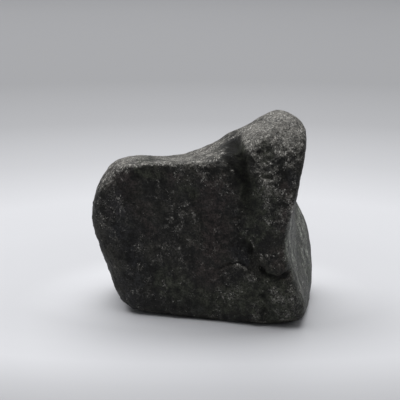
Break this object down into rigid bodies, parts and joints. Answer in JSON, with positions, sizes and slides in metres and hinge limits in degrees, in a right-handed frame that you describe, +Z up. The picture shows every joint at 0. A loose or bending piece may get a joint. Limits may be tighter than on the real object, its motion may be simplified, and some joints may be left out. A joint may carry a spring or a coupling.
{
  "type": "jadeite boulder",
  "caption": "Dark water-worn jadeite stone: a broad flat-topped block with a blunt horn rising at one end, resting on a flat underside.",
  "frame": {"origin": "middle of the footprint box, on the surface that the stone rests on", "axes": "+Z up, +X to the right end under the horn, -Y towards the broad front face"},
  "size_m": [0.1202, 0.0956, 0.1064],
  "materials": {
    "stone": "water-worn and dull, olive charcoal with fine white frosting"
  },
  "bodies": {
    "root": {"boulder": "stone"}
  },
  "joints": []
}
